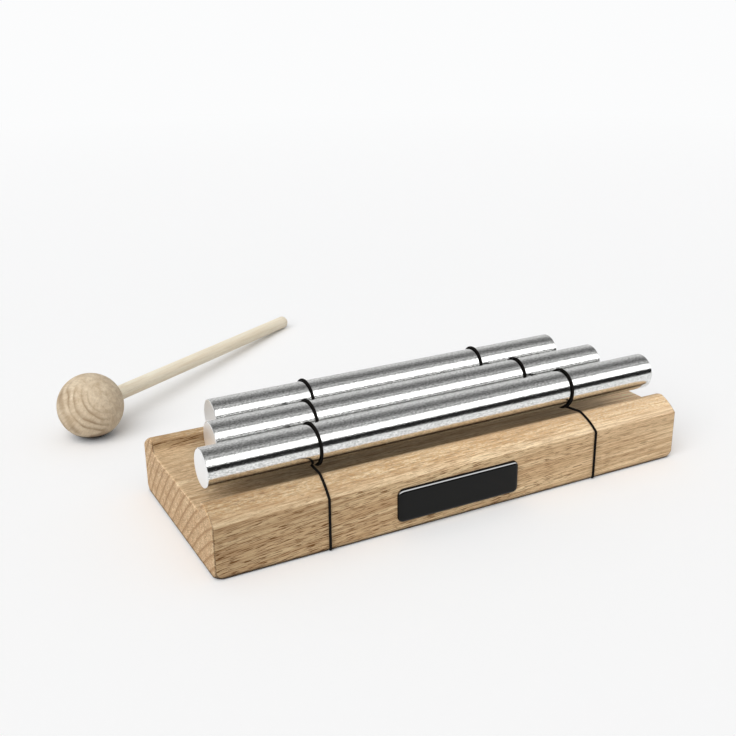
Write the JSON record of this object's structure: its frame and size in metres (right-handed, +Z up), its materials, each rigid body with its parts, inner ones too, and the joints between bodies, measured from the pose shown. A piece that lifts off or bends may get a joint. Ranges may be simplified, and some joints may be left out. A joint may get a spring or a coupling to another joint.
{
  "type": "three-bar chime",
  "caption": "Metal chime bars held in loops of elastic cord over a troughed hardwood base, with a wooden ball mallet lying beside it.",
  "frame": {"origin": "centre of the base's underside, on the table", "axes": "+X along the bars to the player's right, +Y to the back, +Z up"},
  "size_m": [0.2296, 0.258, 0.0431],
  "materials": {
    "beech": "clear satin lacquer on beech",
    "resin": "clear domed gloss over black",
    "bar_metal": "drawn rod, semi-bright",
    "elastic": "covered elastic cord, matt",
    "mallet_wood": "bare turned wood"
  },
  "bodies": {
    "base": {"base_block": "beech", "front_plate": "resin", "cord_left": "elastic", "cord_right": "elastic", "cord_knot_left": "elastic", "cord_knot_right": "elastic"},
    "front_bar": {"bar_front": "bar_metal"},
    "middle_bar": {"bar_middle": "bar_metal"},
    "back_bar": {"bar_back": "bar_metal"},
    "mallet": {"mallet_ball": "mallet_wood", "mallet_stick": "mallet_wood"}
  },
  "joints": [
    {"name": "front_bar_roll", "type": "hinge", "parent": "base", "child": "front_bar", "pos_m": [0, -0.021, 0.0343], "axis": [1, 0, 0], "continuous": true},
    {"name": "middle_bar_roll", "type": "hinge", "parent": "base", "child": "middle_bar", "pos_m": [0, 0, 0.0343], "axis": [1, 0, 0], "continuous": true},
    {"name": "back_bar_roll", "type": "hinge", "parent": "base", "child": "back_bar", "pos_m": [0, 0.021, 0.0343], "axis": [1, 0, 0], "continuous": true},
    {"name": "mallet_lift", "type": "slide", "parent": "base", "child": "mallet", "axis": [0, 0, 1], "range_m": [0, 0.15]}
  ]
}
